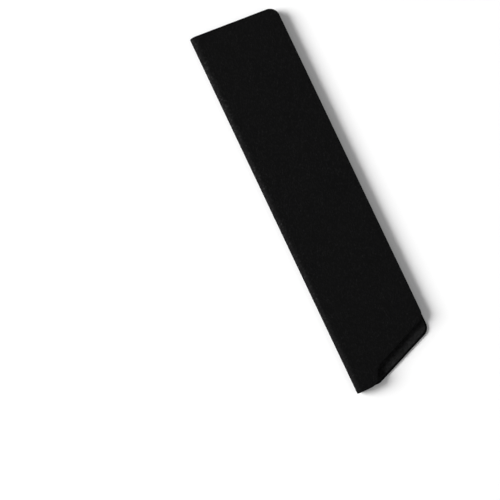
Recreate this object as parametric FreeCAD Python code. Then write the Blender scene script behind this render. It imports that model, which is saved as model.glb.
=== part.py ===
"""Folded blade guard for an eight-inch kitchen knife.

One plastic sheet is bent into a narrow U, so that two long leaves lie face to face, and one sheet of
felt lines the inside. The blade's cutting edge rests in the felt of the fold, and its spine looks out
of the open long edge. The fold works as a spring: pulling the front leaf away from the rear one bends
it, and it closes by itself. Each sheet is divided where its form or its motion changes: at its two
bend lines, and along the back of the fold, which is the line that the front half turns about.

Frame: the guard lies on its rear leaf, with Z up. X runs along the fold towards the mouth, where the
knife's handle comes out, and Y runs from the fold to the open edge. The origin is under the middle of
the guard. Lengths are in millimetres and angles in degrees.
"""

import FreeCAD
import Part
import math
import os

from FreeCAD import Vector

# Overall size
LENGTH = 226.0  # along the fold, from the tip end to the end of the heel tab
WIDTH = 53.0  # from the back of the fold to the open edge
THICKNESS = 6.4  # over the fold

# Sheet goods
SHEET = 1.2  # plastic sheet of the shell
FELT = 1.0  # felt of the lining
RIM_ROUND = 0.4  # rounding of the sheet's outer rim
FELT_INSET = 1.2  # how far the felt stops inside the rim
MOUTH_GAP = 0.8  # between the two felts at the open edge, where the leaves pinch the blade

# Outline of the leaves
TIP_SLANT = 4.2  # lean of the tip end, which is shorter at the open edge
CORNER_RADIUS = 6.0  # outer corners of both leaves
MOUTH_SLANT = 22.0  # slope of the mouth cut, measured from square
FRONT_CUT = 24.0  # how far back the front leaf's mouth cut reaches at the open edge
REAR_CUT = 15.5  # the same on the rear leaf, which shows past the front one
TAB_WIDTH = 12.6  # heel tab of the front leaf, beside the fold
TAB_SIDE_LEAN = 24.4  # side of the heel tab, measured from the fold
STEP_RADIUS = 7.5  # inside corner between the tab and the front leaf's mouth cut

# Places that follow from the sizes above
FOLD_RADIUS = THICKNESS / 2
BEND_Y = -WIDTH / 2 + FOLD_RADIUS  # where the flat leaves start
TIP_X = -LENGTH / 2
MOUTH_X = LENGTH / 2
OPEN_Y = WIDTH / 2
TAB_Y = -WIDTH / 2 + TAB_WIDTH
FOLD_AXIS = Vector(0, BEND_Y, FOLD_RADIUS)
SLOT_AT_FOLD = THICKNESS - 2 * (SHEET + FELT)
PINCH = math.degrees(math.atan((SLOT_AT_FOLD - MOUTH_GAP) / (OPEN_Y - BEND_Y)))
BACK_OF_FOLD = 90.0  # angles about the fold's axis, counted from the rear leaf's bend line
FRONT_BEND_LINE = 180.0 + PINCH
TRIM = FOLD_RADIUS  # spare width behind the bend line, cut off once the outline is inset

X_DIRECTION = Vector(1, 0, 0)
PARTS_FOLDER = "parts"
SAME_PLACE = 1e-6


def tangent(angle):
    """Tangent of an angle in degrees."""
    return math.tan(math.radians(angle))


def rounded_face(corners):
    """Flat face on Z = 0 with (x, y, radius) corners, and a tangent arc in each that has a radius."""
    edges = []
    previous_end = None
    first_start = None
    for index, (x, y, radius) in enumerate(corners):
        corner = Vector(x, y, 0)
        before = Vector(*corners[index - 1][:2], 0) - corner
        after = Vector(*corners[(index + 1) % len(corners)][:2], 0) - corner
        half_angle = before.getAngle(after) / 2
        before.normalize()
        after.normalize()
        reach = radius / math.tan(half_angle)
        start = corner + before * reach
        end = corner + after * reach
        if previous_end is not None:
            edges.append(Part.LineSegment(previous_end, start).toShape())
        if radius:
            inward = (before + after).normalize()
            middle = corner + inward * (radius / math.sin(half_angle) - radius)
            edges.append(Part.Arc(start, middle, end).toShape())
        first_start = first_start or start
        previous_end = end
    edges.append(Part.LineSegment(previous_end, first_start).toShape())
    return Part.Face(Part.Wire(edges))


def tip_corners():
    """The tip end that both leaves share: square up to the bend line, then leaning back to the open edge."""
    behind = BEND_Y - TRIM
    slant_length = (OPEN_Y - BEND_Y) * tangent(TIP_SLANT)
    return [
        (TIP_X, behind, 0),
        (TIP_X, BEND_Y, 0),
        (TIP_X + slant_length, OPEN_Y, CORNER_RADIUS),
    ]


def rear_outline():
    """Rear leaf: its mouth is one plain slanting cut from a square end to the open edge."""
    square_end_y = OPEN_Y - REAR_CUT / tangent(MOUTH_SLANT)
    return rounded_face(
        tip_corners()
        + [
            (MOUTH_X - REAR_CUT, OPEN_Y, CORNER_RADIUS),
            (MOUTH_X, square_end_y, CORNER_RADIUS),
            (MOUTH_X, BEND_Y - TRIM, 0),
        ]
    )


def front_outline():
    """Front leaf: the same cut is set back, and steps out again round the heel tab."""
    cut_beside_tab = FRONT_CUT - (OPEN_Y - TAB_Y) * tangent(MOUTH_SLANT)
    # The tab's side leans away from the fold until it meets the cut.
    step_depth = cut_beside_tab / (1 - tangent(MOUTH_SLANT) * tangent(TAB_SIDE_LEAN))
    step_y = TAB_Y + step_depth * tangent(TAB_SIDE_LEAN)
    return rounded_face(
        tip_corners()
        + [
            (MOUTH_X - FRONT_CUT, OPEN_Y, CORNER_RADIUS),
            (MOUTH_X - step_depth, step_y, STEP_RADIUS),
            (MOUTH_X, TAB_Y, CORNER_RADIUS),
            (MOUTH_X, BEND_Y - TRIM, 0),
        ]
    )


def flat_leaf(outline, inset, bottom, thickness):
    """Sheet of that outline, drawn in by the inset and trimmed at the bend line."""
    face = outline.makeOffset2D(-inset) if inset else outline
    face.translate(Vector(0, 0, bottom))
    sheet = face.extrude(Vector(0, 0, thickness))
    beside_fold = Part.makeBox(LENGTH, WIDTH, THICKNESS, Vector(TIP_X, BEND_Y, 0))
    return sheet.common(beside_fold).Solids[0]


def bend(inset, bottom, thickness, start, end):
    """Round of sheet between two angles, made by turning the sheet's section at the rear bend line."""
    low = Vector(TIP_X + inset, BEND_Y, bottom)
    section = Part.makePlane(thickness, LENGTH - 2 * inset, low, Vector(0, 1, 0), Vector(0, 0, 1))
    section.rotate(FOLD_AXIS, X_DIRECTION, -start)
    return section.revolve(FOLD_AXIS, X_DIRECTION, start - end)


def round_rim(sheet, is_rim):
    """The sheet with those of its edges rounded that the test picks out."""
    rim = [edge for edge in sheet.Edges if is_rim(edge)]
    return sheet.makeFillet(RIM_ROUND, rim).Solids[0]


def is_leaf_rim(outer_z):
    """Test for the edges round a flat leaf's outer face, apart from the one that it shares with the fold."""

    def picked(edge):
        box = edge.BoundBox
        on_outer_face = abs(box.ZMin - outer_z) < SAME_PLACE and abs(box.ZMax - outer_z) < SAME_PLACE
        return on_outer_face and box.YMax > BEND_Y + SAME_PLACE

    return picked


def is_bend_rim(edge):
    """Test for the outer arcs at the two ends of a bend."""
    return isinstance(edge.Curve, Part.Circle) and abs(edge.Curve.Radius - FOLD_RADIUS) < SAME_PLACE


def pinched(leaf):
    """The leaf, swung about the fold until its open edge is the mouth gap away from the rear one."""
    leaf.rotate(FOLD_AXIS, X_DIRECTION, -PINCH)
    return leaf


def make_shell():
    """The bent plastic sheet, from the rear leaf round to the front leaf."""
    rear = flat_leaf(rear_outline(), 0, 0, SHEET)
    front = flat_leaf(front_outline(), 0, THICKNESS - SHEET, SHEET)
    return {
        "rear_leaf": round_rim(rear, is_leaf_rim(0)),
        "rear_bend": round_rim(bend(0, 0, SHEET, 0, BACK_OF_FOLD), is_bend_rim),
        "front_bend": round_rim(bend(0, 0, SHEET, BACK_OF_FOLD, FRONT_BEND_LINE), is_bend_rim),
        "front_leaf": pinched(round_rim(front, is_leaf_rim(THICKNESS))),
    }


def make_lining():
    """The felt glued to the inside of the sheet, in the same order."""
    front_bottom = THICKNESS - SHEET - FELT
    return {
        "rear_felt": flat_leaf(rear_outline(), FELT_INSET, SHEET, FELT),
        "rear_bend_felt": bend(FELT_INSET, SHEET, FELT, 0, BACK_OF_FOLD),
        "front_bend_felt": bend(FELT_INSET, SHEET, FELT, BACK_OF_FOLD, FRONT_BEND_LINE),
        "front_felt": pinched(flat_leaf(front_outline(), FELT_INSET, front_bottom, FELT)),
    }


def main():
    """Builds every piece, writes each to its own file and prints its volume."""
    os.makedirs(PARTS_FOLDER, exist_ok=True)
    for name, shape in {**make_shell(), **make_lining()}.items():
        shape.exportStep(os.path.join(PARTS_FOLDER, name + ".step"))
        print(f"{name}: {shape.ShapeType}, valid {shape.isValid()}, {shape.Volume / 1000:.3f} cm3")


main()
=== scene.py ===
"""Looks of the folded blade guard: a grained black plastic sheet, bent round a lining of black felt.

Both sheets are drawn flat, as they are cut, and then carried round the fold. A place in the flat sheet is
given by x, which runs along the fold towards the mouth, and s, which runs across from the rear leaf's open
edge to the front leaf's and is 0 at the back of the fold. Depth is counted from the guard's outer face
inwards. Lengths are in metres and angles in radians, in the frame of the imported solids.
"""

import logging
import math
from dataclasses import dataclass, field
from enum import Enum
from functools import partial, reduce
from typing import ClassVar, Optional, Union

import bpy
import numpy as np
from mathutils import Matrix, Vector

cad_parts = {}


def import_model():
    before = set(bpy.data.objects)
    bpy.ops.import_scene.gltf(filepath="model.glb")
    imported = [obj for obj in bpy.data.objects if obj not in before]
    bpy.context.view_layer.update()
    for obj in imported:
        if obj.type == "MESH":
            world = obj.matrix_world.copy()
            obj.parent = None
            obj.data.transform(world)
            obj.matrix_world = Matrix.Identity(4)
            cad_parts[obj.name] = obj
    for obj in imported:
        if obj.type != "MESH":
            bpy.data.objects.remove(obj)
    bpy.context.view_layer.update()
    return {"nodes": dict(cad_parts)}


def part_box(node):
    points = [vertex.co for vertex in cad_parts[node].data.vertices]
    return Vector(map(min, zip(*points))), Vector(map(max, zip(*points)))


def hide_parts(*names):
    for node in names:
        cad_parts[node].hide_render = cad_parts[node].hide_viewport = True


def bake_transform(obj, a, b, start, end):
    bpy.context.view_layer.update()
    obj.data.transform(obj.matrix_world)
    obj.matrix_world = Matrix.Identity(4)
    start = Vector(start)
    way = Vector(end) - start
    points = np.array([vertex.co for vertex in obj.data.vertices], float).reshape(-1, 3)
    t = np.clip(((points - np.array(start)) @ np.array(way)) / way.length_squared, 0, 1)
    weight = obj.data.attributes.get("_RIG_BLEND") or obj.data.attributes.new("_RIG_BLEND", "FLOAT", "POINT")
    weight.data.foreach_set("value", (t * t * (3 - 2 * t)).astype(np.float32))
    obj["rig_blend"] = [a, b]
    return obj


LOG = logging.getLogger("blade_guard")
MM = 0.001

Point = tuple[float, float, float]
Colour = tuple[float, float, float]
Socket = bpy.types.NodeSocket
Value = Union[float, tuple[float, ...], Socket]
CutLine = tuple[np.ndarray, np.ndarray]  # places and outward normals
Places = tuple[np.ndarray, np.ndarray, np.ndarray]  # along, across and depth

MIDDLE_DRAW: Colour = (0.5, 0.5, 0.5)  # middle of the range of a random colour


class Body(Enum):
    """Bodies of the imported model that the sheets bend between."""

    REAR = "rear_half"
    FRONT = "front_half"


class Leaf(Enum):
    """The two leaves. The value is the sign of s on it."""

    REAR = -1
    FRONT = 1


class End(Enum):
    """The two ends of a leaf. The value is the sign of the way out of it along X."""

    TIP = -1
    MOUTH = 1


class SurfaceMark(Enum):
    """Names of the values that a sheet's mesh stores at its points, for its finish to read."""

    PLACE = "flat_place"
    CUT_EDGE = "cut_edge"


class Fineness(Enum):
    """How fine a soft random field is. The value is the number of finer layers in it."""

    SMOOTH = 1.0
    STRANDED = 1.5
    GRAINY = 2.0
    CLOUDY = 3.0
    RAGGED = 4.0


@dataclass(frozen=True)
class Corner:
    """Corner of a leaf's end, in the flat sheet.

    Attributes:
        x: Place along the fold.
        across: Distance from the bend line.
        radius: Radius of the arc that rounds it off, or 0.
    """

    x: float
    across: float
    radius: float = 0.0


@dataclass(frozen=True)
class GuardSizes:
    """Sizes that the sheets share.

    Attributes:
        tip_x: Tip end of the fold.
        mouth_x: Mouth end of the fold.
        bend_y: Where the flat leaves start.
        leaf_width: From the bend line to the open edge.
        fold_radius: Radius of the fold's outer face.
        sheet: Thickness of the plastic sheet.
        felt: Thickness of the felt.
        felt_inset: How far the felt stops inside the rim.
        pinch: How far the front leaf leans towards the rear one.
        tip_slant: Lean of the tip end.
        corner_radius: Outer corners of both leaves.
        mouth_slant: Slope of the mouth cut, from square.
        front_cut: How far back the front leaf's mouth cut reaches at the open edge.
        rear_cut: The same on the rear leaf.
        tab_width: Heel tab of the front leaf, from the back of the fold.
        tab_side_lean: Side of the heel tab, from the fold.
        step_radius: Inside corner between the heel tab and the mouth cut.
    """

    tip_x: float
    mouth_x: float
    bend_y: float
    leaf_width: float
    fold_radius: float
    sheet: float
    felt: float
    felt_inset: float
    pinch: float
    tip_slant: float = math.radians(4.2)
    corner_radius: float = 6.0 * MM
    mouth_slant: float = math.radians(22.0)
    front_cut: float = 24.0 * MM
    rear_cut: float = 15.5 * MM
    tab_width: float = 12.6 * MM
    tab_side_lean: float = math.radians(24.4)
    step_radius: float = 7.5 * MM

    @classmethod
    def from_frame(cls) -> "GuardSizes":
        """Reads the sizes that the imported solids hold.

        Returns:
            The sizes, with the outline's own values at their defaults.
        """
        leaf_low, leaf_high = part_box("rear_leaf")
        felt_low, felt_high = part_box("rear_felt")
        bend_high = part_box("rear_bend")[1]
        front_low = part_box("front_leaf")[0]
        leaf_width = leaf_high.y - leaf_low.y
        sheet = leaf_high.z
        return cls(
            tip_x=leaf_low.x,
            mouth_x=leaf_high.x,
            bend_y=leaf_low.y,
            leaf_width=leaf_width,
            fold_radius=bend_high.z,
            sheet=sheet,
            felt=felt_high.z - felt_low.z,
            felt_inset=leaf_high.y - felt_high.y,
            pinch=math.asin((2 * bend_high.z - sheet - front_low.z) / leaf_width),
        )

    @property
    def rear_arc(self) -> float:
        """Length of the outer face from the back of the fold to the rear bend line."""
        return self.fold_radius * math.pi / 2

    @property
    def front_arc(self) -> float:
        """Length of the outer face from the back of the fold to the front bend line."""
        return self.fold_radius * (math.pi / 2 + self.pinch)

    def end_corners(self, leaf: Leaf, end: End) -> list[Corner]:
        """Corners of one end of a leaf, from the bend line to the middle of the open edge.

        Args:
            leaf: Which leaf.
            end: Which of its ends.

        Returns:
            The corners in order.
        """
        middle = Corner((self.tip_x + self.mouth_x) / 2, self.leaf_width)
        if end is End.TIP:
            return [Corner(self.tip_x, 0.0), self._tip_corner(), middle]
        mouth = self._rear_mouth() if leaf is Leaf.REAR else self._front_mouth()
        return [Corner(self.mouth_x, 0.0), *mouth, middle]

    def _tip_corner(self) -> Corner:
        """Outer corner of the tip end."""
        slant_length = self.leaf_width * math.tan(self.tip_slant)
        return Corner(self.tip_x + slant_length, self.leaf_width, self.corner_radius)

    def _rear_mouth(self) -> list[Corner]:
        """Rear leaf's mouth: one plain slanting cut.

        Returns:
            Its corners, outwards from the fold.
        """
        square_end = self.leaf_width - self.rear_cut / math.tan(self.mouth_slant)
        return [
            Corner(self.mouth_x, square_end, self.corner_radius),
            Corner(self.mouth_x - self.rear_cut, self.leaf_width, self.corner_radius),
        ]

    def _front_mouth(self) -> list[Corner]:
        """Front leaf's mouth: the cut is set back, and steps out again round the heel tab.

        Returns:
            Its corners, outwards from the fold.
        """
        slope, lean = math.tan(self.mouth_slant), math.tan(self.tab_side_lean)
        tab = self.tab_width - self.fold_radius
        cut_beside_tab = self.front_cut - (self.leaf_width - tab) * slope
        step_depth = cut_beside_tab / (1 - slope * lean)
        return [
            Corner(self.mouth_x, tab, self.corner_radius),
            Corner(self.mouth_x - step_depth, tab + step_depth * lean, self.step_radius),
            Corner(self.mouth_x - self.front_cut, self.leaf_width, self.corner_radius),
        ]

    def as_cut(self, s: np.ndarray, depth: float) -> np.ndarray:
        """Where points lay across the flat sheet before the bending, which keeps lengths at that depth."""
        in_bend = np.clip(s, -self.rear_arc, self.front_arc)
        return s - in_bend * depth / self.fold_radius

    def fold(self, x: np.ndarray, s: np.ndarray, depth: np.ndarray) -> np.ndarray:
        """Carries points of the flat sheet round the fold.

        Args:
            x: Places along the fold.
            s: Places across the sheet.
            depth: Depths below the outer face.

        Returns:
            Their places in the frame, one row each.
        """
        turn = np.clip(s / self.fold_radius + math.pi / 2, 0, math.pi + self.pinch)
        past_bend = np.maximum(s - self.front_arc, 0) - np.maximum(-s - self.rear_arc, 0)
        reach = self.fold_radius - depth
        y = self.bend_y - np.sin(turn) * reach - np.cos(turn) * past_bend
        z = self.fold_radius - np.cos(turn) * reach + np.sin(turn) * past_bend
        return np.stack([x, y, z], axis=-1)


@dataclass(frozen=True)
class EndLine:
    """Line of one end of a leaf, traced from the bend line to the open edge.

    Attributes:
        places: (x, across) of its points.
        outward: The unit normal at each, out of the leaf.
    """

    places: np.ndarray
    outward: np.ndarray

    @classmethod
    def trace(cls, corners: list[Corner], end: End, arc_steps: int = 64) -> "EndLine":
        """Follows the corners, with a tangent arc in each that has a radius.

        Args:
            corners: Corners in order. The first and last only give the line's directions there.
            end: The end that the line belongs to, which says where outward is.
            arc_steps: Points along each arc.

        Returns:
            The traced line.
        """
        spots = [np.array([corner.x, corner.across]) for corner in corners]
        ways = [(b - a) / np.linalg.norm(b - a) for a, b in zip(spots, spots[1:])]
        normals = [end.value * np.array([way[1], -way[0]]) for way in ways]
        places, outward = [spots[0]], [normals[0]]
        for index in range(1, len(corners) - 1):
            radius = corners[index].radius
            before, after = normals[index - 1], normals[index]
            turn = math.acos(float(np.clip(before @ after, -1, 1)))
            start = spots[index] - ways[index - 1] * radius * math.tan(turn / 2)
            bulge = 1.0 if before @ ways[index] < 0 else -1.0
            centre = start - before * radius * bulge
            for share in np.linspace(0, 1, arc_steps + 1):
                first = before * math.sin((1 - share) * turn)
                normal = (first + after * math.sin(share * turn)) / math.sin(turn)
                places.append(centre + normal * radius * bulge)
                outward.append(normal)
        return cls(np.array(places), np.array(outward))

    def at(self, across: np.ndarray) -> CutLine:
        """Where the line crosses some distances from the bend line.

        Args:
            across: The distances.

        Returns:
            The (x, across) places and the outward normals there.
        """
        known = self.places[:, 1]
        x = np.interp(across, known, self.places[:, 0])
        normals = np.stack([np.interp(across, known, self.outward[:, axis]) for axis in (0, 1)], axis=-1)
        normals /= np.linalg.norm(normals, axis=1, keepdims=True)
        return np.stack([x, across], axis=-1), normals


@dataclass(frozen=True)
class RowSpacing:
    """How close the rows of a sheet's mesh lie, from the bend line to the open edge.

    Attributes:
        plain: Spacing on the plain stretch.
        shaped: Spacing beside the heel tab and its inside corner.
        shaped_from: Where that stretch starts.
        shaped_to: Where it ends.
        corner_rows: Rows across the outer corners.
        bend_rows: Rows round the fold.
    """

    plain: float
    shaped: float
    shaped_from: float = 5.0 * MM
    shaped_to: float = 17.5 * MM
    corner_rows: int = 14
    bend_rows: int = 32

    def leaf_rows(self, width: float, corner_radius: float) -> np.ndarray:
        """Distances of the rows from the bend line.

        Args:
            width: Width of the leaf.
            corner_radius: Radius of its outer corners.

        Returns:
            The distances, from 0 to the width.
        """
        corner_start = width - corner_radius
        stops = [0.0, self.shaped_from, self.shaped_to, corner_start]
        steps = [self.plain, self.shaped, self.plain]
        rows = []
        for start, stop, step in zip(stops, stops[1:], steps):
            rows.append(np.linspace(start, stop, math.ceil((stop - start) / step), endpoint=False))
        turns = np.linspace(0, math.pi / 2, self.corner_rows + 1)
        rows.append(corner_start + corner_radius * np.sin(turns))
        return np.concatenate(rows)


@dataclass(frozen=True)
class Waves:
    """Sum of plane waves in mixed directions, which makes an uneven field that is the same each time.

    Attributes:
        seed: Seed of the directions, lengths and phases.
        shortest: Shortest wave.
        longest: Longest wave.
        height: Root mean square of the field.
        count: Number of waves.
    """

    seed: int
    shortest: float
    longest: float
    height: float
    count: int = 28

    def at(self, x: np.ndarray, s: np.ndarray) -> np.ndarray:
        """The field at places of the flat sheet.

        Args:
            x: Places along the fold.
            s: Places across the sheet.

        Returns:
            The field's values.
        """
        draw = np.random.default_rng(self.seed)
        total = np.zeros_like(x)
        for _ in range(self.count):
            heading, phase = draw.uniform(0, 2 * math.pi, 2)
            length = draw.uniform(self.shortest, self.longest)
            run = x * math.cos(heading) + s * math.sin(heading)
            total += np.sin(run * 2 * math.pi / length + phase)
        # The mean square of each wave is a half.
        return total * self.height / math.sqrt(self.count / 2)


@dataclass(frozen=True)
class RimStep:
    """One step of a sheet's rim, from its outer face round to its inner one.

    Attributes:
        inset: Distance inside the cut line.
        depth: Depth below the guard's outer face.
        cut: 1 on the cut edge, 0 on the faces.
    """

    inset: float
    depth: float
    cut: float


class Graph:
    """Node tree of one material, with short calls that add and join its nodes."""

    def __init__(self, name: str) -> None:
        """Starts an empty tree.

        Args:
            name: Name of the material.
        """
        self.material = bpy.data.materials.new(name)
        self.material.use_nodes = True
        self.tree = self.material.node_tree
        self.tree.nodes.clear()

    def add(self, kind: str, inputs: dict[Union[str, int], Value], **settings: object) -> bpy.types.Node:
        """Adds a node.

        Args:
            kind: Blender's name of the node's type, without its ShaderNode prefix.
            inputs: A value for each socket to set, or the socket to join it to.
            settings: Other properties of the node.

        Returns:
            The node.
        """
        node = self.tree.nodes.new("ShaderNode" + kind)
        for name, value in settings.items():
            setattr(node, name, value)
        for key, value in inputs.items():
            if isinstance(value, bpy.types.NodeSocket):
                self.tree.links.new(value, node.inputs[key])
            else:
                node.inputs[key].default_value = value
        return node

    def mark(self, mark: SurfaceMark) -> bpy.types.Node:
        """Node that reads one of the mesh's stored values."""
        return self.add("Attribute", {}, attribute_type="GEOMETRY", attribute_name=mark.value)

    def math(self, operation: str, first: Value, second: Value) -> Socket:
        """Result of a sum, difference or other operation on two values."""
        return self.add("Math", {0: first, 1: second}, operation=operation).outputs[0]

    def product(self, *shares: Value) -> Value:
        """Product of two or more values."""
        return reduce(partial(self.math, "MULTIPLY"), shares)

    def noise(self, place: Value, size: float, fineness: Fineness, curl: float = 0.0) -> Socket:
        """Soft random field with spots of a given size and fineness, bent out of shape by the curl."""
        inputs = {"Vector": place, "Scale": 1 / size, "Detail": fineness.value, "Distortion": curl}
        return self.add("TexNoise", inputs).outputs["Fac"]

    def spread(
        self, value: Value, low: float, high: float, to_low: Value = 0.0, to_high: Value = 1.0
    ) -> Socket:
        """Carries a value from the range low to high into the second range, and holds it there."""
        inputs = {"Value": value, "From Min": low, "From Max": high, "To Min": to_low, "To Max": to_high}
        return self.add("MapRange", inputs, clamp=True).outputs["Result"]

    def mix(self, share: Value, first: Value, second: Value) -> Socket:
        """Colour between two colours.

        Args:
            share: Share of the second.
            first: Colour at 0.
            second: Colour at 1.

        Returns:
            The socket of the mixed colour.
        """
        inputs = {"Factor": share}
        for key, colour in (("A", first), ("B", second)):
            inputs[key] = (*colour, 1.0) if isinstance(colour, tuple) else colour
        return self.add("Mix", inputs, data_type="RGBA").outputs["Result"]

    def finish(self, shader: bpy.types.Node) -> bpy.types.Material:
        """Joins the last shader to the output.

        Args:
            shader: The shader node.

        Returns:
            The material.
        """
        output = self.tree.nodes.new("ShaderNodeOutputMaterial")
        self.tree.links.new(shader.outputs[0], output.inputs["Surface"])
        return self.material


@dataclass(frozen=True)
class PebbledPlastic:
    """Black sheet plastic with a pebble grain pressed into it, and plain where it is cut.

    Attributes:
        valley_shade: Colour between the pebbles, darker than on their tops: painted shade in the grain's
            hollows.
        top: Colour on the pebbles.
        glint: Lighter colour of the few pebbles that catch the light, a painted glint.
        worn: Colour of the places where the cut edge is rubbed.
        glint_share: Share of the pebbles that catch the light.
        pebble: Size of a pebble.
        pebble_top: Where a pebble's level top ends, in pebbles from its middle.
        pebble_foot: Where its side ends.
        lean: Most that a pebble's top may lean, as a slope.
        uneven_gloss: Most that a pebble's roughness may differ from its patch's.
        speckle: Size of the fine unevenness on the pebbles.
        speckle_height: Height of that unevenness, in pebbles' heights.
        cloud: Size of the patches where the gloss varies.
        cloud_from: Level of their random field where the sheet is dullest.
        cloud_to: Level where it is glossiest.
        rub: Size of the rubbed places.
        rub_from: Level of their random field from which they start to show.
        rub_to: Level from which they show fully.
        shear_line: Width of the lines that the cutting tool leaves on the edge.
        shear_stretch: How many times longer such a line is than it is wide.
        relief: Height of the grain.
        relief_strength: Share of that height that shows.
        dull: Roughness of the dullest patches.
        glossy: Roughness of the glossiest patches.
        glint_polish: How much less rough a pebble is that catches the light.
        specular: Strength of the mirror-like part.
        paled_and_highlight: Colour of pebble tops on the fold, partly the stretched sheet's paling and
            partly a painted highlight.
        pale_highlight_size: Size of these pale marks.
        pale_highlight_from: Level of their random field from which they start to show.
        pale_highlight_to: Level from which they show fully.
        highlight_at_mouth: How much of it is kept at the mouth end, as the painted highlight fades towards
            the mouth.
        bend_dull: How much rougher the stretched sheet is.
        bend_fade: How far on each side of the bend lines the stretching fades out.
    """

    valley_shade: Colour = (0.0026, 0.0026, 0.0027)
    top: Colour = (0.0046, 0.0046, 0.0047)
    glint: Colour = (0.0085, 0.0085, 0.0087)
    worn: Colour = (0.0085, 0.0085, 0.0086)
    glint_share: float = 0.2
    pebble: float = 1.1 * MM
    pebble_top: float = 0.10
    pebble_foot: float = 0.62
    lean: float = 0.40
    uneven_gloss: float = 0.08
    speckle: float = 0.22 * MM
    speckle_height: float = 0.35
    cloud: float = 24.0 * MM
    cloud_from: float = 0.32
    cloud_to: float = 0.68
    rub: float = 7.0 * MM
    rub_from: float = 0.45
    rub_to: float = 0.65
    shear_line: float = 0.16 * MM
    shear_stretch: float = 12.0
    relief: float = 0.12 * MM
    relief_strength: float = 0.7
    dull: float = 0.62
    glossy: float = 0.54
    glint_polish: float = 0.06
    specular: float = 0.052
    paled_and_highlight: Colour = (0.032, 0.032, 0.0324)
    pale_highlight_size: float = 1.3 * MM
    pale_highlight_from: float = 0.46
    pale_highlight_to: float = 0.63
    highlight_at_mouth: float = 0.08
    bend_dull: float = 0.16
    bend_fade: float = 1.2 * MM

    def build(self, sizes: GuardSizes) -> bpy.types.Material:
        """Makes the material.

        Args:
            sizes: Sizes of the guard, which say where the sheet is bent.

        Returns:
            The material.
        """
        graph = Graph("pebbled_plastic")
        place = graph.mark(SurfaceMark.PLACE).outputs["Vector"]
        flat = graph.add("SeparateXYZ", {"Vector": place}).outputs
        cut = graph.mark(SurfaceMark.CUT_EDGE).outputs["Fac"]
        on_face = graph.math("SUBTRACT", 1.0, cut)
        bent = self._stretching(graph, flat["Y"], sizes)
        cells = graph.add("TexVoronoi", {"Vector": place, "Scale": 1 / self.pebble}, feature="F1").outputs
        pebbles = graph.spread(cells["Distance"], self.pebble_top, self.pebble_foot, 1.0, 0.0)
        draws = graph.add("SeparateColor", {"Color": cells["Color"]}).outputs
        picked = graph.spread(draws["Red"], 1 - self.glint_share, 1.0)
        glint = graph.product(picked, pebbles, on_face)

        # Colour
        # Painted shade in the grain's hollows, and a painted glint on the few picked pebbles.
        colour = graph.mix(glint, graph.mix(pebbles, self.valley_shade, self.top), self.glint)
        # Pale marks on the fold's pebble tops: partly the stretched sheet's paling, partly a painted
        # highlight that fades from the tip end towards the mouth.
        marks = graph.noise(place, self.pale_highlight_size, Fineness.RAGGED)
        marks = graph.spread(marks, self.pale_highlight_from, self.pale_highlight_to)
        highlight_fade = graph.spread(flat["X"], sizes.tip_x, sizes.mouth_x, 1.0, self.highlight_at_mouth)
        colour = graph.mix(graph.product(marks, pebbles, bent, highlight_fade, on_face), colour, self.paled_and_highlight)
        rubbed = graph.spread(graph.noise(place, self.rub, Fineness.CLOUDY), self.rub_from, self.rub_to)
        colour = graph.mix(graph.product(rubbed, cut), colour, self.worn)

        # Relief
        speckle = graph.product(graph.noise(place, self.speckle, Fineness.GRAINY), self.speckle_height)
        leaning = self._leaning(graph, place, cells, pebbles)
        grain = graph.product(graph.math("ADD", leaning, speckle), on_face)
        drawn = graph.add("Mapping", {"Vector": place, "Scale": (1.0, 1.0, 1 / self.shear_stretch)})
        lines = graph.noise(drawn.outputs["Vector"], self.shear_line, Fineness.SMOOTH)
        height = graph.math("ADD", grain, graph.product(lines, cut))
        relief = {"Strength": self.relief_strength, "Distance": self.relief, "Height": height}

        # Roughness
        clouds = graph.noise(place, self.cloud, Fineness.CLOUDY)
        rough = graph.spread(clouds, self.cloud_from, self.cloud_to, self.dull, self.glossy)
        uneven = graph.spread(draws["Green"], 0.0, 1.0, -self.uneven_gloss, self.uneven_gloss)
        polish = graph.math("ADD", graph.product(glint, self.glint_polish), graph.product(uneven, on_face))
        polish = graph.math("SUBTRACT", polish, graph.product(bent, self.bend_dull))
        shader = graph.add(
            "BsdfPrincipled",
            {
                "Base Color": colour,
                "Roughness": graph.math("SUBTRACT", rough, polish),
                "Normal": graph.add("Bump", relief).outputs["Normal"],
                "Specular IOR Level": self.specular,
            },
        )
        return graph.finish(shader)

    def _stretching(self, graph: Graph, across: Value, sizes: GuardSizes) -> Socket:
        """How far the bending has stretched the sheet: 1 on the fold, 0 on the leaves.

        Args:
            graph: The material's node tree.
            across: Socket of the place across the flat sheet.
            sizes: Sizes of the guard.

        Returns:
            The socket of that share.
        """
        bend_line = float(sizes.as_cut(np.array(sizes.rear_arc), sizes.sheet / 2))
        from_fold = graph.math("ABSOLUTE", across, 0.0)
        return graph.spread(from_fold, bend_line - self.bend_fade, bend_line + self.bend_fade, 1.0, 0.0)

    def _leaning(self, graph: Graph, place: Value, cells: bpy.types.NodeOutputs, pebbles: Value) -> Socket:
        """Height of the pebbles, each with a top that leans its own way.

        Args:
            graph: The material's node tree.
            place: Socket of the place in the flat sheet.
            cells: Outputs of the texture that spreads the pebbles.
            pebbles: Socket of the height of level pebbles.

        Returns:
            The socket of the height.
        """
        from_middle = graph.add("VectorMath", {0: place, 1: cells["Position"]}, operation="SUBTRACT")
        way = graph.add("VectorMath", {0: cells["Color"], 1: MIDDLE_DRAW}, operation="SUBTRACT")
        inputs = {0: from_middle.outputs[0], 1: way.outputs[0]}
        rise = graph.add("VectorMath", inputs, operation="DOT_PRODUCT").outputs["Value"]
        # A draw is at most a half away from the middle, so the slope is doubled.
        lift = graph.product(rise, 2 * self.lean / self.relief)
        return graph.product(pebbles, graph.math("ADD", lift, 1.0))


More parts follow.
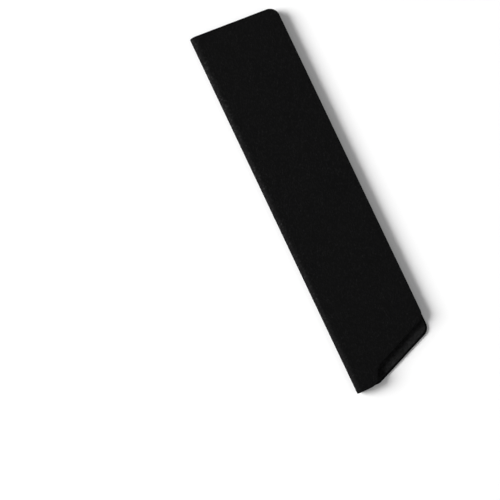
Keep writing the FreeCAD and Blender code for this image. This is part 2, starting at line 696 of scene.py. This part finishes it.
@dataclass(frozen=True)
class PressedFelt:
    """Black pressed felt: matted fibres that lie in all directions, with a soft sheen.

    Attributes:
        deep_shade: Colour between the fibres, darker than on top: painted shade in the gaps.
        fibre: Colour of the fibres on top.
        deep_shade_to: Height up to which the felt has that painted shade, in heights of a bundle.
        fibre_from: Height from which it has the fibres' colour.
        fibre_width: Width of a bundle of fibres.
        stretch: How many times longer a bundle is than it is wide.
        curl: How far a bundle bends.
        headings: Directions that the bundles lie in.
        clump: Size of the loose clumps.
        clump_height: Height of the clumps, in heights of a bundle.
        relief: Height of a bundle.
        relief_strength: Share of that height that shows.
        rough: Roughness.
        specular: Strength of the mirror-like part.
        sheen: Strength of the sheen.
        sheen_rough: Roughness of the sheen.
    """

    deep_shade: Colour = (0.003, 0.003, 0.0031)
    fibre: Colour = (0.022, 0.022, 0.0224)
    deep_shade_to: float = 0.74
    fibre_from: float = 1.08
    fibre_width: float = 0.12 * MM
    stretch: float = 9.0
    curl: float = 0.6
    headings: tuple[float, ...] = (math.radians(20), math.radians(75), math.radians(140))
    clump: float = 1.4 * MM
    clump_height: float = 0.6
    relief: float = 0.12 * MM
    relief_strength: float = 0.7
    rough: float = 0.95
    specular: float = 0.1
    sheen: float = 0.07
    sheen_rough: float = 0.5

    def build(self) -> bpy.types.Material:
        """Makes the material.

        Returns:
            The material.
        """
        graph = Graph("pressed_felt")
        place = graph.mark(SurfaceMark.PLACE).outputs["Vector"]
        fibres: Value = 0.0
        for heading in self.headings:
            fibres = graph.math("MAXIMUM", fibres, self._bundles(graph, place, heading))
        clumps = graph.product(graph.noise(place, self.clump, Fineness.CLOUDY), self.clump_height)
        height = graph.math("ADD", fibres, clumps)
        # Lower places of the felt get the darker colour: painted shade between the bundles and clumps.
        unshaded = graph.spread(height, self.deep_shade_to, self.fibre_from)
        relief = {"Strength": self.relief_strength, "Distance": self.relief, "Height": height}
        shader = graph.add(
            "BsdfPrincipled",
            {
                "Base Color": graph.mix(unshaded, self.deep_shade, self.fibre),
                "Roughness": self.rough,
                "Normal": graph.add("Bump", relief).outputs["Normal"],
                "Specular IOR Level": self.specular,
                "Sheen Weight": self.sheen,
                "Sheen Roughness": self.sheen_rough,
            },
        )
        return graph.finish(shader)

    def _bundles(self, graph: Graph, place: Value, heading: float) -> Socket:
        """Bundles of fibres that lie in one direction.

        Args:
            graph: The material's node tree.
            place: Socket of the place in the flat sheet.
            heading: The direction.

        Returns:
            The socket of their height.
        """
        turned = graph.add("VectorRotate", {"Vector": place, "Angle": heading}, rotation_type="Z_AXIS")
        scale = (1 / self.stretch, 1.0, 1.0)
        drawn = graph.add("Mapping", {"Vector": turned.outputs["Vector"], "Scale": scale})
        return graph.noise(drawn.outputs["Vector"], self.fibre_width, Fineness.STRANDED, self.curl)


@dataclass(frozen=True)
class PaleFloor:
    """White paper of the studio floor, which keeps the shadow.

    Attributes:
        colour: Colour under the lamps.
        lift: What is added where the camera or a reflection looks at it, so that lit paper is white.
        paper_radius: Radius within which it is plain paper.
        white_radius: Radius from which it is white by itself, as a backdrop.
    """

    colour: Colour = (0.90, 0.90, 0.90)
    lift: float = 0.06
    paper_radius: float = 0.35
    white_radius: float = 0.8

    def build(self) -> bpy.types.Material:
        """Makes the material.

        Returns:
            The material.
        """
        graph = Graph("pale_floor")
        rays = graph.add("LightPath", {}).outputs
        seen = graph.math("MAXIMUM", rays["Is Camera Ray"], rays["Is Glossy Ray"])
        seen = graph.math("MAXIMUM", seen, rays["Is Transmission Ray"])
        paper = graph.add("BsdfDiffuse", {"Color": (*self.colour, 1.0)})
        lift = graph.add("Emission", {"Strength": graph.product(seen, self.lift)})
        near = graph.add("AddShader", {0: paper.outputs[0], 1: lift.outputs[0]})
        far = graph.add("Emission", {"Strength": seen})
        place = graph.add("NewGeometry", {}).outputs["Position"]
        distance = graph.add("VectorMath", {0: place}, operation="LENGTH").outputs["Value"]
        share = graph.spread(distance, self.paper_radius, self.white_radius)
        return graph.finish(graph.add("MixShader", {0: share, 1: near.outputs[0], 2: far.outputs[0]}))


def make_object(name: str, points: list[Point], faces: list[tuple[int, ...]]) -> bpy.types.Object:
    """Makes a smooth mesh object and puts it in the scene.

    Args:
        name: Name of the object and of its mesh.
        points: Points in the frame.
        faces: Point numbers of each face.

    Returns:
        The object.
    """
    mesh = bpy.data.meshes.new(name)
    mesh.from_pydata(points, [], faces)
    mesh.shade_smooth()
    made = bpy.data.objects.new(name, mesh)
    bpy.context.scene.collection.objects.link(made)
    return made


@dataclass
class FoldedSheet:
    """A sheet that runs from the rear leaf's open edge, round the fold, to the front leaf's open edge.

    Attributes:
        name: Name of the piece.
        nodes: Solids that it stands for.
        slot: Material slot that its finish comes from.
        sizes: Sizes of the guard.
        rows: Spacing of the mesh across the sheet.
        columns: Number of faces along the fold.
        piece: The mesh object, once built.
    """

    name: ClassVar[str]
    nodes: ClassVar[tuple[str, ...]]
    slot: ClassVar[str]

    sizes: GuardSizes
    rows: RowSpacing
    columns: int
    piece: Optional[bpy.types.Object] = field(init=False, default=None)

    @property
    def middle_depth(self) -> float:
        """Depth of the middle of the sheet's thickness, which keeps its length when the sheet is bent."""
        raise NotImplementedError

    def rim(self) -> list[RimStep]:
        """Steps of the rim, from the outer face to the inner one."""
        raise NotImplementedError

    def unevenness(self, x: np.ndarray, s: np.ndarray, depth: float) -> Places:
        """Leaves points of the flat sheet in their true places, unless a kind of sheet moves them."""
        return x, s, np.full_like(x, depth)

    def build(self) -> None:
        """Builds the closed mesh: a grid on each face, and the rim between them."""
        tip, mouth = self._ends(End.TIP), self._ends(End.MOUTH)
        steps = self.rim()
        number = np.arange(len(tip[0]) * (self.columns + 1)).reshape(-1, self.columns + 1)
        border = self._border(number)
        picks = [number.ravel(), *[border] * (len(steps) - 2), number.ravel()]
        starts = np.cumsum([0] + [len(pick) for pick in picks])
        places, marks, cut = [], [], []
        for step, pick in zip(steps, picks):
            blank = self._blank(tip, mouth, step.inset).reshape(-1, 2)[pick]
            x, s, depth = self.unevenness(blank[:, 0], blank[:, 1], step.depth)
            places.append(self.sizes.fold(x, s, depth))
            marks.append(np.stack([x, self.sizes.as_cut(s, self.middle_depth), depth], axis=-1))
            cut.append(np.full(len(pick), step.cut))
        loops = [border, *[start + np.arange(len(border)) for start in starts[1:-2]], starts[-2] + border]
        faces = self._faces(number, loops, starts[-2])
        self.piece = make_object(self.name, np.concatenate(places).tolist(), faces.tolist())
        self._store(np.concatenate(marks), np.concatenate(cut))

    def _ends(self, end: End) -> CutLine:
        """Cut line of one end of the whole sheet.

        Args:
            end: Which end.

        Returns:
            The (x, s) place of each row's end and the outward normal there.
        """
        sizes = self.sizes
        across = self.rows.leaf_rows(sizes.leaf_width, sizes.corner_radius)
        places, normals = {}, {}
        for leaf in Leaf:
            line = EndLine.trace(sizes.end_corners(leaf, end), end)
            spot, normal = line.at(across)
            arc = sizes.rear_arc if leaf is Leaf.REAR else sizes.front_arc
            places[leaf] = np.stack([spot[:, 0], leaf.value * (arc + spot[:, 1])], axis=-1)
            normals[leaf] = normal * [1, leaf.value]
        bend = np.linspace(-sizes.rear_arc, sizes.front_arc, self.rows.bend_rows + 1)[1:-1]
        fold_x = sizes.tip_x if end is End.TIP else sizes.mouth_x
        bend_places = np.stack([np.full_like(bend, fold_x), bend], axis=-1)
        bend_normals = np.tile([float(end.value), 0.0], (len(bend), 1))
        return (
            np.concatenate([places[Leaf.REAR][::-1], bend_places, places[Leaf.FRONT]]),
            np.concatenate([normals[Leaf.REAR][::-1], bend_normals, normals[Leaf.FRONT]]),
        )

    def _blank(self, tip: CutLine, mouth: CutLine, inset: float) -> np.ndarray:
        """Grid over the flat sheet, drawn in from its cut line.

        Args:
            tip: Places and normals of the tip end.
            mouth: The same of the mouth end.
            inset: How far it is drawn in.

        Returns:
            The (x, s) places, by row and column.
        """
        start = (tip[0] - tip[1] * inset)[:, None, :]
        stop = (mouth[0] - mouth[1] * inset)[:, None, :]
        share = np.linspace(0, 1, self.columns + 1)[None, :, None]
        return start + (stop - start) * share

    @staticmethod
    def _border(grid: np.ndarray) -> np.ndarray:
        """What a grid holds along its border, once round."""
        return np.concatenate([grid[0, :-1], grid[:-1, -1], grid[-1, :0:-1], grid[:0:-1, 0]])

    @staticmethod
    def _faces(number: np.ndarray, loops: list[np.ndarray], inner_start: int) -> np.ndarray:
        """Faces of both grids and of the rim.

        Args:
            number: Point numbers of the outer grid, by row and column.
            loops: Point numbers of the rim's loops, from the outer face to the inner one.
            inner_start: Number of the inner grid's first point.

        Returns:
            Four point numbers for each face.
        """
        corners = [number[:-1, :-1], number[:-1, 1:], number[1:, 1:], number[1:, :-1]]
        quads = np.stack(corners, axis=-1).reshape(-1, 4)
        faces = [quads, quads[:, ::-1] + inner_start]
        for outer, inner in zip(loops, loops[1:]):
            faces.append(np.stack([np.roll(outer, -1), outer, inner, np.roll(inner, -1)], axis=-1))
        return np.concatenate(faces)

    def _store(self, flat: np.ndarray, cut: np.ndarray) -> None:
        """Stores at each point what the finish reads.

        Args:
            flat: Places in the flat sheet, with their depths.
            cut: 1 on the cut edge, 0 on the faces.
        """
        attributes = self.piece.data.attributes
        place = attributes.new(SurfaceMark.PLACE.value, "FLOAT_VECTOR", "POINT")
        place.data.foreach_set("vector", flat.astype(np.float32).ravel())
        edge = attributes.new(SurfaceMark.CUT_EDGE.value, "FLOAT", "POINT")
        edge.data.foreach_set("value", cut.astype(np.float32))

    def dress(self, material: bpy.types.Material) -> None:
        """Gives the piece its finish."""
        self.piece.data.materials.append(material)

    def join_bodies(self, still_below: float, turning_above: float) -> None:
        """Lets the piece stand for its solids, and bend between the two halves.

        Args:
            still_below: Height up to which it stays with the rear half.
            turning_above: Height from which it turns with the front half.
        """
        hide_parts(*self.nodes)
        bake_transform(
            self.piece,
            Body.REAR.value,
            Body.FRONT.value,
            start=(0, self.sizes.bend_y, still_below),
            end=(0, self.sizes.bend_y, turning_above),
        )


@dataclass
class FoldedShell(FoldedSheet):
    """The plastic sheet, with a rounded rim outside and a slight break of the edge inside.

    Attributes:
        rim_round: Rounding of the outer rim.
        edge_break: Rounding of the inner rim.
        round_steps: Faces round the outer rim.
        break_steps: Faces round the inner rim.
        crisp: Width of the narrow strip that keeps the faces flat up to the rim.
    """

    name: ClassVar[str] = "folded_shell"
    nodes: ClassVar[tuple[str, ...]] = ("rear_leaf", "rear_bend", "front_bend", "front_leaf")
    slot: ClassVar[str] = "shell"

    rim_round: float = 0.4 * MM
    edge_break: float = 0.15 * MM
    round_steps: int = 5
    break_steps: int = 3
    crisp: float = 0.08 * MM

    @property
    def middle_depth(self) -> float:
        """Depth of the middle of the sheet's thickness."""
        return self.sizes.sheet / 2

    def rim(self) -> list[RimStep]:
        """Steps of the rim, from the outer face to the inner one.

        Returns:
            The steps.
        """
        steps = [RimStep(self.rim_round + self.crisp, 0.0, 0.0)]
        for turn in np.linspace(0, math.pi / 2, self.round_steps + 1):
            inset = self.rim_round * (1 - math.sin(turn))
            steps.append(RimStep(inset, self.rim_round * (1 - math.cos(turn)), math.sin(turn)))
        inner = self.sizes.sheet - self.edge_break
        for turn in np.linspace(0, math.pi / 2, self.break_steps + 1):
            inset = self.edge_break * (1 - math.cos(turn))
            steps.append(RimStep(inset, inner + self.edge_break * math.sin(turn), math.cos(turn)))
        steps.append(RimStep(self.edge_break + self.crisp, self.sizes.sheet, 0.0))
        return steps


@dataclass
class FeltLining(FoldedSheet):
    """The felt glued to the inside of the plastic sheet, with soft cut edges and an uneven face.

    Attributes:
        edge_round: Rounding of the cut edge.
        round_steps: Faces round it.
        lumps: Unevenness of the felt's face.
        lump_sink: How far the lumps are sunk, in their heights, so that few stand out of the true face.
        wander_x: How the cut line wanders along the fold.
        wander_s: How it wanders across.
    """

    name: ClassVar[str] = "felt_lining"
    nodes: ClassVar[tuple[str, ...]] = ("rear_felt", "rear_bend_felt", "front_bend_felt", "front_felt")
    slot: ClassVar[str] = "lining"

    edge_round: float = 0.35 * MM
    round_steps: int = 4
    lumps: Waves = Waves(seed=11, shortest=2.2 * MM, longest=5.0 * MM, height=0.03 * MM)
    lump_sink: float = 2.0
    wander_x: Waves = Waves(seed=23, shortest=4.0 * MM, longest=16.0 * MM, height=0.07 * MM)
    wander_s: Waves = Waves(seed=37, shortest=4.0 * MM, longest=16.0 * MM, height=0.07 * MM)

    @property
    def middle_depth(self) -> float:
        """Depth of the middle of the felt's thickness."""
        return self.sizes.sheet + self.sizes.felt / 2

    def rim(self) -> list[RimStep]:
        """Steps of the rim, from the glued face to the free one.

        Returns:
            The steps.
        """
        edge, back = self.sizes.felt_inset, self.sizes.sheet
        free = back + self.sizes.felt
        steps = [RimStep(edge + self.edge_round, back, 0.0), RimStep(edge, back, 1.0)]
        for turn in np.linspace(0, math.pi / 2, self.round_steps + 1):
            inset = edge + self.edge_round * (1 - math.cos(turn))
            depth = free - self.edge_round * (1 - math.sin(turn))
            steps.append(RimStep(inset, depth, math.cos(turn)))
        return steps

    def unevenness(self, x: np.ndarray, s: np.ndarray, depth: float) -> Places:
        """Moves points of the flat felt off their true places.

        Args:
            x: True places along the fold.
            s: True places across the sheet.
            depth: True depth.

        Returns:
            The places along, the places across and the depths.
        """
        share = (depth - self.sizes.sheet) / self.sizes.felt
        depths = depth + share * (self.lumps.at(x, s) - self.lump_sink * self.lumps.height)
        return x + self.wander_x.at(x, s), s + self.wander_s.at(x, s), depths

    def cut_line(self) -> np.ndarray:
        """Line that the flat felt is cut along.

        Returns:
            Its (x, s) points, once round.
        """
        blank = self._blank(self._ends(End.TIP), self._ends(End.MOUTH), self.sizes.felt_inset)
        line = self._border(blank)
        return np.stack([line[:, 0], self.sizes.as_cut(line[:, 1], self.middle_depth)], axis=-1)

    def declare(self, shell: FoldedShell) -> None:
        """Works out the line that the felt is cut along, and does nothing more with it.

        Args:
            shell: What it is glued to. Not used.
        """
        line = self.cut_line()


@dataclass(frozen=True)
class SoftLamp:
    """A soft square lamp that looks at the guard.

    Attributes:
        name: Name of the lamp.
        bearing: Direction that it stands in, counted from +X towards +Y.
        rise: Height above the floor, as an angle.
        distance: Distance from the guard.
        size: Side of its square.
        power: Power in watts.
    """

    name: str
    bearing: float
    rise: float
    distance: float
    size: float
    power: float

    def place(self) -> None:
        """Puts the lamp in the scene."""
        data = bpy.data.lights.new(self.name, "AREA")
        data.shape = "SQUARE"
        data.size = self.size
        data.energy = self.power
        lamp = bpy.data.objects.new(self.name, data)
        level = math.cos(self.rise)
        away = Vector((level * math.cos(self.bearing), level * math.sin(self.bearing), math.sin(self.rise)))
        lamp.location = away * self.distance
        lamp.rotation_euler = away.to_track_quat("Z", "Y").to_euler()
        lamp.visible_camera = False
        bpy.context.scene.collection.objects.link(lamp)


@dataclass(frozen=True)
class Studio:
    """White floor that rises into a backdrop all round, two soft lamps and a dim sky.

    Attributes:
        flat_radius: Radius of the level floor.
        rim_radius: Radius of the backdrop's top.
        rim_height: Height of the backdrop's top.
        sides: Faces round the floor.
        rise_steps: Faces from the floor to the top of the backdrop.
        sky: Brightness of the sky.
        lamps: The lamps.
    """

    flat_radius: float = 6.2
    rim_radius: float = 7.6
    rim_height: float = 1.6
    sides: int = 96
    rise_steps: int = 12
    sky: float = 0.20
    lamps: tuple[SoftLamp, ...] = (
        SoftLamp("key_lamp", math.radians(245), math.radians(30), distance=5.0, size=2.7, power=454.0),
        SoftLamp("fill_lamp", math.radians(40), math.radians(48), distance=3.0, size=1.6, power=9.0),
    )

    def build(self) -> None:
        """Makes the floor, the lamps and the sky."""
        radii = [0.0, self.flat_radius / 2]
        heights = [0.0, 0.0]
        curve_width = self.rim_radius - self.flat_radius
        for share in np.linspace(0, 1, self.rise_steps + 1):
            turn = share * math.pi / 2
            radii.append(self.flat_radius + curve_width * math.sin(turn))
            heights.append(self.rim_height * (1 - math.cos(turn)))
        floor = self._turned_dish(radii, heights)
        floor.data.materials.append(PaleFloor().build())
        for lamp in self.lamps:
            lamp.place()
        world = bpy.data.worlds.new("dim_sky")
        world.use_nodes = True
        background = world.node_tree.nodes["Background"].inputs
        background["Color"].default_value = (1.0, 1.0, 1.0, 1.0)
        background["Strength"].default_value = self.sky
        bpy.context.scene.world = world

    def _turned_dish(self, radii: list[float], heights: list[float]) -> bpy.types.Object:
        """Turns a profile round the Z axis.

        Args:
            radii: Radius of each ring. The first is 0.
            heights: Height of each ring.

        Returns:
            The object.
        """
        turns = np.arange(self.sides) * 2 * math.pi / self.sides
        ring = np.stack([np.cos(turns), np.sin(turns)], axis=-1)
        points = [(0.0, 0.0, heights[0])]
        faces = []
        for number, (radius, height) in enumerate(zip(radii[1:], heights[1:])):
            points.extend((x * radius, y * radius, height) for x, y in ring)
            outer = 1 + number * self.sides
            for side in range(self.sides):
                following = (side + 1) % self.sides
                if number:
                    inner = outer - self.sides
                    faces.append((inner + side, outer + side, outer + following, inner + following))
                else:
                    faces.append((0, outer + side, outer + following))
        return make_object("studio_floor", points, faces)


@dataclass(frozen=True)
class OverheadCamera:
    """Camera at the photograph's viewing angle, almost straight above the guard.

    Attributes:
        eye: Where it stands.
        look: Direction that it looks in.
        turn: How far the fold leans from the picture's upright.
        lens: Focal length in millimetres.
        sensor: Sensor width in millimetres.
    """

    eye: Point = (51.0 * MM, -43.0 * MM, 808.3 * MM)
    look: Point = (-0.0482, -0.0049, -0.9988)
    turn: float = math.radians(25.25)
    lens: float = 100.8
    sensor: float = 36.0

    def place(self) -> None:
        """Puts the camera in the scene and makes it the scene's own."""
        data = bpy.data.cameras.new("overhead_camera")
        data.lens = self.lens
        data.sensor_width = self.sensor
        camera = bpy.data.objects.new("overhead_camera", data)
        back = -Vector(self.look).normalized()
        upright = Vector((-math.cos(self.turn), math.sin(self.turn), 0))
        right = upright.cross(back).normalized()
        rotation = Matrix((right, back.cross(right), back)).transposed()
        camera.matrix_world = Matrix.Translation(self.eye) @ rotation.to_4x4()
        bpy.context.scene.collection.objects.link(camera)
        bpy.context.scene.camera = camera


def main() -> None:
    """Builds the guard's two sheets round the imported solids, then the studio and the camera."""
    logging.basicConfig(level=logging.INFO, format="%(message)s")
    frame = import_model()
    LOG.info("solids: %s", ", ".join(sorted(frame["nodes"])))
    sizes = GuardSizes.from_frame()

    shell = FoldedShell(sizes, RowSpacing(plain=1.6 * MM, shaped=0.35 * MM), columns=140)
    shell.build()
    shell.dress(PebbledPlastic().build(sizes))
    shell.join_bodies(still_below=sizes.sheet, turning_above=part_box("front_leaf")[0].z)
    LOG.info("%s: %d faces", shell.name, len(shell.piece.data.polygons))

    felt = FeltLining(sizes, RowSpacing(plain=0.9 * MM, shaped=0.4 * MM), columns=232)
    felt.build()
    felt.dress(PressedFelt().build())
    felt.join_bodies(still_below=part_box("rear_felt")[1].z, turning_above=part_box("front_felt")[0].z)
    felt.declare(shell)
    LOG.info("%s: %d faces", felt.name, len(felt.piece.data.polygons))

    Studio().build()
    OverheadCamera().place()
    bpy.context.scene.view_settings.view_transform = "Standard"


if __name__ == "__main__":
    main()
